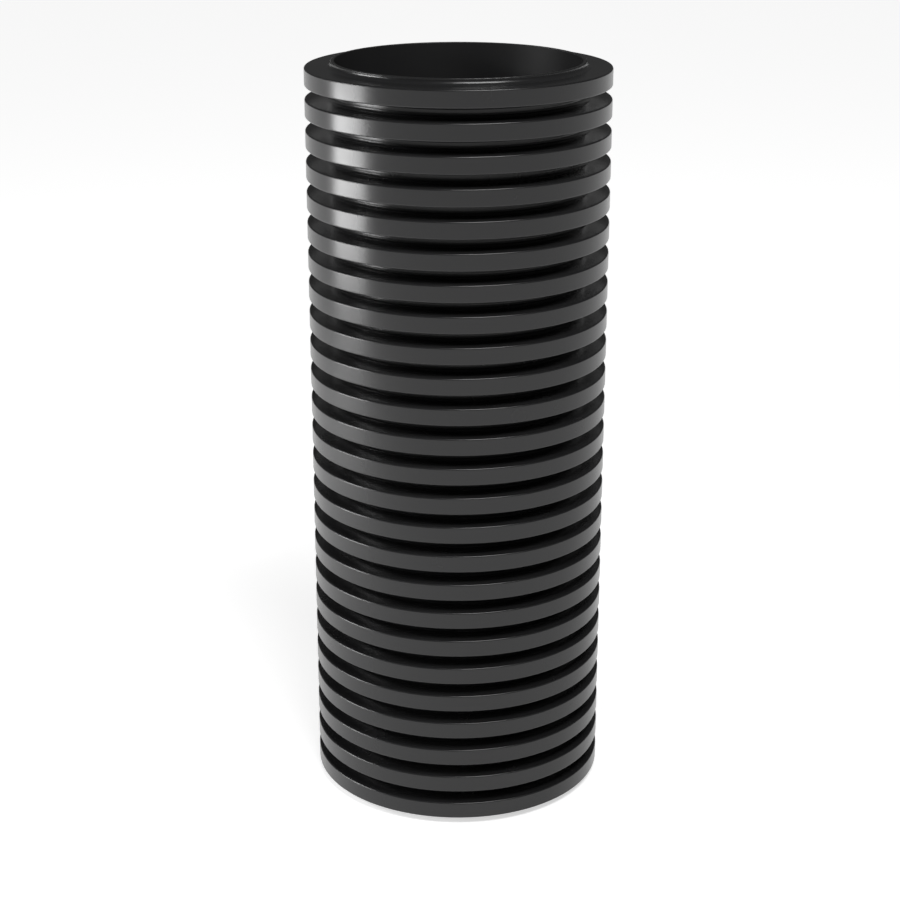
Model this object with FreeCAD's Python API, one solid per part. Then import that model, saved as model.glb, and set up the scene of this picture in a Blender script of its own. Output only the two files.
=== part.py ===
"""Inspection chamber shaft: a twin-wall corrugated plastic pipe that stands upright on a chamber base.

One extruded piece. Its smooth bore is a thin liner, and its outer wall is moulded into square ring ribs
that are hollow inside. Between two ribs the outer wall is welded to the liner, so the groove there has
both walls. Both ends are cut square through a groove, which leaves a short plain collar past the end rib.

Millimetres. +Z runs up the shaft's axis, and the origin is the centre of the bottom end, on the floor.
"""

import FreeCAD
import Part

import math
import os

# Overall sizes
LENGTH = 1250.0
BORE_RADIUS = 200.0

# Walls
LINER_WALL = 2.8
OUTER_WALL = 2.6
CAVITY_ROUND = 1.5

# Ribs and the grooves between them
RIB_PITCH = 50.0
RIB_WIDTH = 28.7
RIB_HEIGHT = 43.1
CREST_ROUND = 2.5
ROOT_ROUND = 8.5
MIN_ROOT_FLAT = 0.4

# Ends
TOP_COLLAR = 10.0
COLLAR_ROUND = 1.0

# A groove's floor is the outer wall lying on the liner, and the ribs stand up from it.
ROOT_RADIUS = BORE_RADIUS + LINER_WALL + OUTER_WALL
CREST_RADIUS = ROOT_RADIUS + RIB_HEIGHT
# The round at a rib's foot is limited by half the groove and by the collar beside it.
GROOVE_WIDTH = RIB_PITCH - RIB_WIDTH
FOOT_ROUND = min(ROOT_ROUND, (GROOVE_WIDTH - MIN_ROOT_FLAT) / 2, TOP_COLLAR - COLLAR_ROUND - MIN_ROOT_FLAT)
MIN_BOTTOM_COLLAR = FOOT_ROUND + COLLAR_ROUND + MIN_ROOT_FLAT
# Inside a rib the air widens towards the liner, so that the wall keeps its thickness behind that round.
CAVITY_FLARE = (FOOT_ROUND + OUTER_WALL) * (2 - math.sqrt(2))
TOP_RIB_Z = LENGTH - TOP_COLLAR
RIB_COUNT = 1 + math.floor((TOP_RIB_Z - RIB_WIDTH - MIN_BOTTOM_COLLAR) / RIB_PITCH)

AXIS_POINT = FreeCAD.Vector(0, 0, 0)
AXIS = FreeCAD.Vector(0, 0, 1)
FULL_TURN = 360.0


def section_point(radius, height):
    """A point of the half section, which lies in the XZ plane."""
    return FreeCAD.Vector(radius, 0, height)


def rounded_outline(corners):
    """The closed wire through corners, each (radius, height, rounding), with a tangent arc at each."""
    points = [section_point(radius, height) for radius, height, _ in corners]
    arcs = []
    for i, (_, _, rounding) in enumerate(corners):
        here = points[i]
        back = (points[i - 1] - here).normalize()
        ahead = (points[(i + 1) % len(points)] - here).normalize()
        half_angle = back.getAngle(ahead) / 2
        setback = rounding / math.tan(half_angle)
        to_centre = (back + ahead).normalize()
        middle = here + to_centre * (rounding / math.sin(half_angle) - rounding)
        arcs.append(Part.Arc(here + back * setback, middle, here + ahead * setback))
    edges = []
    for i, arc in enumerate(arcs):
        edges.append(arc.toShape())
        next_arc = arcs[(i + 1) % len(arcs)]
        edges.append(Part.LineSegment(arc.EndPoint, next_arc.StartPoint).toShape())
    return Part.Wire(edges)


def turned(corners):
    """The solid that an outline sweeps in a full turn about the shaft's axis."""
    return Part.Face(rounded_outline(corners)).revolve(AXIS_POINT, AXIS, FULL_TURN)


def rib_tops():
    """The height of each rib's upper face, from the top rib down."""
    return [TOP_RIB_Z - i * RIB_PITCH for i in range(RIB_COUNT)]


def rib_corners(top):
    """The four outline corners of the rib below the height top, going down."""
    bottom = top - RIB_WIDTH
    return [
        (ROOT_RADIUS, top, FOOT_ROUND),
        (CREST_RADIUS, top, CREST_ROUND),
        (CREST_RADIUS, bottom, CREST_ROUND),
        (ROOT_RADIUS, bottom, FOOT_ROUND),
    ]


def envelope():
    """The shaft with its bore and grooves, before its ribs are hollowed."""
    corners = [
        (BORE_RADIUS, 0, COLLAR_ROUND),
        (BORE_RADIUS, LENGTH, COLLAR_ROUND),
        (ROOT_RADIUS, LENGTH, COLLAR_ROUND),
    ]
    for top in rib_tops():
        corners += rib_corners(top)
    corners.append((ROOT_RADIUS, 0, COLLAR_ROUND))
    return turned(corners)


def rib_cavity(top):
    """The closed ring of air inside the rib below the height top."""
    inner = BORE_RADIUS + LINER_WALL
    outer = CREST_RADIUS - OUTER_WALL
    upper = top - OUTER_WALL
    lower = top - RIB_WIDTH + OUTER_WALL
    return turned([
        (inner, lower - CAVITY_FLARE, CAVITY_ROUND),
        (inner, upper + CAVITY_FLARE, CAVITY_ROUND),
        (inner + CAVITY_FLARE, upper, CAVITY_ROUND),
        (outer, upper, CAVITY_ROUND),
        (outer, lower, CAVITY_ROUND),
        (inner + CAVITY_FLARE, lower, CAVITY_ROUND),
    ])


def shaft():
    return envelope().cut([rib_cavity(top) for top in rib_tops()])


def main():
    os.makedirs("parts", exist_ok=True)
    body = shaft()
    solid = body.Solids[0]
    print("ribs", RIB_COUNT, "solids", len(body.Solids), "shells", len(solid.Shells))
    print("valid", solid.isValid(), "volume in litres", round(solid.Volume / 1e6, 3))
    solid.exportStep("parts/shaft.step")


main()
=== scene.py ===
"""Looks of the inspection chamber shaft: satin black plastic on a white studio floor.

Metres, in the frame's axes: +Z up the shaft's axis, and the camera stands on the -Y side.
"""

import bpy
import math
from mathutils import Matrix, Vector


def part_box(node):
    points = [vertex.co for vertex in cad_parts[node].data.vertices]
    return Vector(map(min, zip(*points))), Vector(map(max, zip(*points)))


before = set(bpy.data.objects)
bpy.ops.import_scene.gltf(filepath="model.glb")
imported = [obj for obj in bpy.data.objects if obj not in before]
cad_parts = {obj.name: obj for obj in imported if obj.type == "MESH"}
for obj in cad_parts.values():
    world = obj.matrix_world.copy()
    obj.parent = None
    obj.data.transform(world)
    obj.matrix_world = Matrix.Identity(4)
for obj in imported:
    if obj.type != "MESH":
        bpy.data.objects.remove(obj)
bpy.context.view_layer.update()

LOW, HIGH = (Vector(corner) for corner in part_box("shaft"))
RADIUS = (HIGH.x - LOW.x) / 2
TOP = HIGH.z
FLOOR_Z = LOW.z

# Camera: its place in crest radii from the shaft's top, its pitch and its lens
CAMERA_BACK = 12.8526
CAMERA_RISE = 1.8386
CAMERA_SIDE = -0.055
CAMERA_PITCH = math.radians(19.355)
SENSOR_WIDTH = 36.0
LENS = 78.87

# Plastic: two near blacks, and a liner that is matter than the outside.
# The gloss changes between two radii inside the wall, given in crest radii.
DARKER = (0.013, 0.013, 0.0135, 1)
LIGHTER = (0.017, 0.017, 0.0175, 1)
LINER_START = 0.808
LINER_END = 0.824
LINER_ROUGHNESS = 0.42
OUTSIDE_ROUGHNESS = 0.25
PATCH_ROUGHNESS = 0.03
CLOUD_SCALE = 9.0
GRAIN_SCALE = 900.0
GRAIN_DEPTH = 0.0004
PLASTIC_IOR = 1.46

# Floor: its size, and the glow that camera and gloss rays see, near the shaft and far from it
FLOOR_SIZE = 400
FLOOR_COLOR = (0.86, 0.86, 0.86, 1)
GLOW_NEAR = 0.8
GLOW_FAR = 4.5
NEAR_STRENGTH = 0.6
FAR_STRENGTH = 0.86
WORLD_STRENGTH = 0.07


def new_material(name):
    """A material with an empty node tree, and that tree."""
    material = bpy.data.materials.new(name)
    material.use_nodes = True
    material.node_tree.nodes.clear()
    return material, material.node_tree


def add_node(tree, kind, inputs=None, **settings):
    """A node with some of its inputs and settings set. A linked input is given as an output socket."""
    node = tree.nodes.new(kind)
    for name, value in settings.items():
        setattr(node, name, value)
    for name, value in (inputs or {}).items():
        if isinstance(value, bpy.types.NodeSocket):
            tree.links.new(value, node.inputs[name])
        else:
            node.inputs[name].default_value = value
    return node


def noise(tree, place, scale, detail):
    return add_node(tree, "ShaderNodeTexNoise",
                    {"Vector": place, "Scale": scale, "Detail": detail, "Roughness": 0.55})


def ramp(tree, factor, low, high, to_low, to_high):
    """factor's span low..high, spread over to_low..to_high and held at its ends."""
    node = add_node(tree, "ShaderNodeMapRange", {"Value": factor})
    node.inputs["From Min"].default_value = low
    node.inputs["From Max"].default_value = high
    node.inputs["To Min"].default_value = to_low
    node.inputs["To Max"].default_value = to_high
    return node.outputs["Result"]


def black_plastic():
    """Satin black polypropylene: fine mould grain, faint cloudy gloss, and a matter liner."""
    material, tree = new_material("black_plastic")
    place = add_node(tree, "ShaderNodeTexCoord").outputs["Object"]
    cloud = noise(tree, place, CLOUD_SCALE, 4.0).outputs["Fac"]
    grain = noise(tree, place, GRAIN_SCALE, 2.0).outputs["Fac"]
    tint = add_node(tree, "ShaderNodeMix", {"Factor": cloud}, data_type="RGBA")
    tint.inputs["A"].default_value = DARKER
    tint.inputs["B"].default_value = LIGHTER
    patches = ramp(tree, cloud, 0.3, 0.7, -PATCH_ROUGHNESS, PATCH_ROUGHNESS)
    across = add_node(tree, "ShaderNodeVectorMath", {0: place, 1: (1, 1, 0)}, operation="MULTIPLY")
    length = add_node(tree, "ShaderNodeVectorMath", {0: across.outputs[0]}, operation="LENGTH")
    radius = length.outputs["Value"]
    level = ramp(tree, radius, LINER_START * RADIUS, LINER_END * RADIUS,
                 LINER_ROUGHNESS, OUTSIDE_ROUGHNESS)
    gloss = add_node(tree, "ShaderNodeMath", {0: level, 1: patches}, operation="ADD").outputs[0]
    bump = add_node(tree, "ShaderNodeBump", {"Height": grain, "Strength": 0.06, "Distance": GRAIN_DEPTH})
    shader = add_node(tree, "ShaderNodeBsdfPrincipled",
                      {"Base Color": tint.outputs["Result"], "Roughness": gloss,
                       "Normal": bump.outputs["Normal"], "IOR": PLASTIC_IOR})
    add_node(tree, "ShaderNodeOutputMaterial", {"Surface": shader.outputs["BSDF"]})
    return material


def floor_material():
    """White floor, with the object's shadow on it. Camera, gloss and transmission rays also see a glow."""
    material, tree = new_material("floor_white")
    shade = add_node(tree, "ShaderNodeBsdfDiffuse", {"Color": FLOOR_COLOR})
    path = add_node(tree, "ShaderNodeLightPath")
    seen = add_node(tree, "ShaderNodeMath",
                    {0: path.outputs["Is Camera Ray"], 1: path.outputs["Is Glossy Ray"]},
                    operation="MAXIMUM")
    seen = add_node(tree, "ShaderNodeMath", {0: seen.outputs[0], 1: path.outputs["Is Transmission Ray"]},
                    operation="MAXIMUM")
    place = add_node(tree, "ShaderNodeNewGeometry").outputs["Position"]
    reach = add_node(tree, "ShaderNodeVectorMath", {0: place}, operation="LENGTH").outputs["Value"]
    glow = ramp(tree, reach, GLOW_NEAR, GLOW_FAR, NEAR_STRENGTH, FAR_STRENGTH)
    strength = add_node(tree, "ShaderNodeMath", {0: seen.outputs[0], 1: glow}, operation="MULTIPLY")
    lit = add_node(tree, "ShaderNodeEmission", {"Strength": strength.outputs[0]})
    both = add_node(tree, "ShaderNodeAddShader", {0: shade.outputs[0], 1: lit.outputs[0]})
    add_node(tree, "ShaderNodeOutputMaterial", {"Surface": both.outputs[0]})
    return material


def add_floor():
    bpy.ops.mesh.primitive_plane_add(size=FLOOR_SIZE, location=(0, 0, FLOOR_Z))
    floor = bpy.context.object
    floor.name = "floor"
    floor.data.materials.append(floor_material())


def add_panel(name, place, target, width, height, radiance):
    """A soft rectangular lamp at place, turned to target. radiance is its brightness, where 1 is white."""
    data = bpy.data.lights.new(name, "AREA")
    data.shape = "RECTANGLE"
    data.size = width
    data.size_y = height
    data.energy = radiance * math.pi * width * height
    lamp = bpy.data.objects.new(name, data)
    lamp.location = place
    lamp.rotation_euler = (Vector(target) - Vector(place)).to_track_quat("-Z", "Y").to_euler()
    lamp.visible_camera = False
    bpy.context.scene.collection.objects.link(lamp)


def add_lights():
    """A key lamp from the front right, and two from the left for the upright highlight and the bore."""
    middle = (0, 0, TOP * 0.75)
    add_panel("key", (1.0, -2.1, TOP + 2.9), middle, 2.2, 1.4, 12)
    add_panel("low_left", (-3.0, -0.2, 0.58), (0, 0, 0.58), 1.6, 0.6, 16)
    add_panel("high_left", (-3.0, -0.2, TOP + 0.7), (0, 0, TOP), 1.4, 0.4, 22)


def add_world():
    world = bpy.data.worlds.new("studio")
    world.use_nodes = True
    background = world.node_tree.nodes["Background"]
    background.inputs["Color"].default_value = (1, 1, 1, 1)
    background.inputs["Strength"].default_value = WORLD_STRENGTH
    bpy.context.scene.world = world


def add_camera():
    data = bpy.data.cameras.new("camera")
    data.sensor_width = SENSOR_WIDTH
    data.lens = LENS
    camera = bpy.data.objects.new("camera", data)
    camera.location = (CAMERA_SIDE * RADIUS, -CAMERA_BACK * RADIUS, TOP + CAMERA_RISE * RADIUS)
    camera.rotation_euler = (math.pi / 2 - CAMERA_PITCH, 0, 0)
    bpy.context.scene.collection.objects.link(camera)
    bpy.context.scene.camera = camera


def dress_shaft():
    plastic = black_plastic()
    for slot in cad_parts["shaft"].material_slots:
        slot.material = plastic


add_world()
add_lights()
add_floor()
add_camera()
dress_shaft()

bpy.context.scene.view_settings.view_transform = "Standard"
